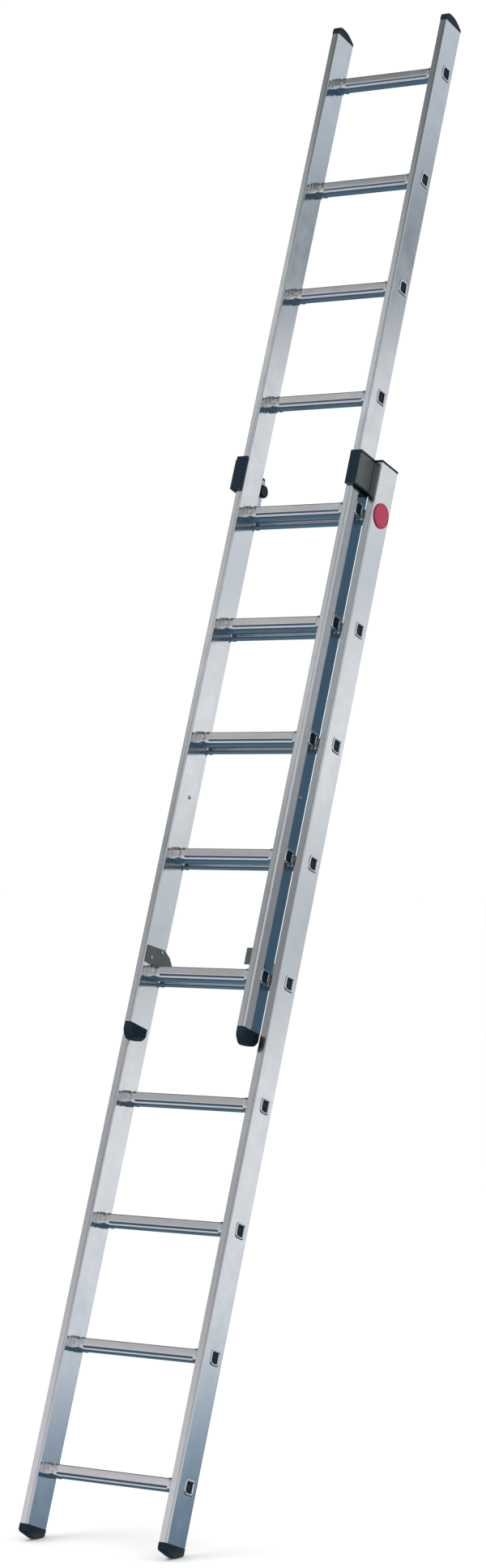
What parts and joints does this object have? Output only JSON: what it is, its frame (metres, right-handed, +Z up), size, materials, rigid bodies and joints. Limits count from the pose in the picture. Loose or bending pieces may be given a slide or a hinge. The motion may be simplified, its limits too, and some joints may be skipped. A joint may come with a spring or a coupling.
{
  "type": "extension ladder",
  "caption": "Two-section aluminium push-up extension ladder, leaning in use, with hook plates, top guides, rubber feet and a spring catch.",
  "frame": {"origin": "on the floor, midway across the ladder and under the middle of its leaning length", "axes": "+X to the climber's right, +Y from the climber towards the wall, +Z up; the ladder leans back from its feet towards +Y"},
  "size_m": [0.3966, 1.2616, 3.4651],
  "materials": {
    "stile_aluminium": "satin mill finish with fine ribs along the extrusion",
    "rung_aluminium": "satin mill finish, ribbed tread face",
    "rivet_aluminium": "plain blind rivets",
    "foot_rubber": "matt black moulded rubber",
    "cap_plastic": "matt black moulded plastic",
    "liner_plastic": "black moulded plastic with a fine grain",
    "coated_steel": "dark grey coating, half gloss",
    "zinc_steel": "bright zinc plating",
    "knob_plastic": "black moulded plastic",
    "badge_red": "glossy red moulded plastic"
  },
  "bodies": {
    "base": {"base_stile_left": "stile_aluminium", "base_stile_right": "stile_aluminium", "base_plugs_left": "cap_plastic", "base_plugs_right": "cap_plastic", "base_rung_1": "rung_aluminium", "base_rung_2": "rung_aluminium", "base_rung_3": "rung_aluminium", "base_rung_4": "rung_aluminium", "base_rung_5": "rung_aluminium", "base_rung_6": "rung_aluminium", "base_rung_7": "rung_aluminium", "base_rung_8": "rung_aluminium", "base_rung_9": "rung_aluminium", "base_foot_left": "foot_rubber", "base_foot_right": "foot_rubber", "base_lid_left": "cap_plastic", "base_lid_right": "cap_plastic", "guide_strap_left": "coated_steel", "guide_strap_right": "coated_steel", "guide_liner_left": "liner_plastic", "guide_liner_right": "liner_plastic", "guide_rivets_left": "rivet_aluminium", "guide_rivets_right": "rivet_aluminium", "badge": "badge_red", "catch_housing": "zinc_steel", "catch_rivets": "rivet_aluminium"},
    "fly": {"fly_stile_left": "stile_aluminium", "fly_stile_right": "stile_aluminium", "fly_plugs_left": "cap_plastic", "fly_plugs_right": "cap_plastic", "fly_rung_1": "rung_aluminium", "fly_rung_2": "rung_aluminium", "fly_rung_3": "rung_aluminium", "fly_rung_4": "rung_aluminium", "fly_rung_5": "rung_aluminium", "fly_rung_6": "rung_aluminium", "fly_rung_7": "rung_aluminium", "fly_rung_8": "rung_aluminium", "fly_rung_9": "rung_aluminium", "fly_heel_left": "cap_plastic", "fly_heel_right": "cap_plastic", "fly_top_cap_left": "cap_plastic", "fly_top_cap_right": "cap_plastic", "hook_plate_left": "coated_steel", "hook_plate_right": "coated_steel", "hook_rivets_left": "rivet_aluminium", "hook_rivets_right": "rivet_aluminium", "stop_rivet_left": "rivet_aluminium", "stop_rivet_right": "rivet_aluminium"},
    "catch": {"catch_knob": "knob_plastic", "catch_bolt": "zinc_steel"}
  },
  "joints": [
    {"name": "fly_slide", "type": "slide", "parent": "base", "child": "fly", "axis": [0, 0.342, 0.9397], "range_m": [-1.12, 0.735]},
    {"name": "catch_pull", "type": "slide", "parent": "base", "child": "catch", "axis": [1, 0, 0], "range_m": [0, 0.01], "stiffness_N_per_m": 800, "springref_m": -0.003}
  ]
}
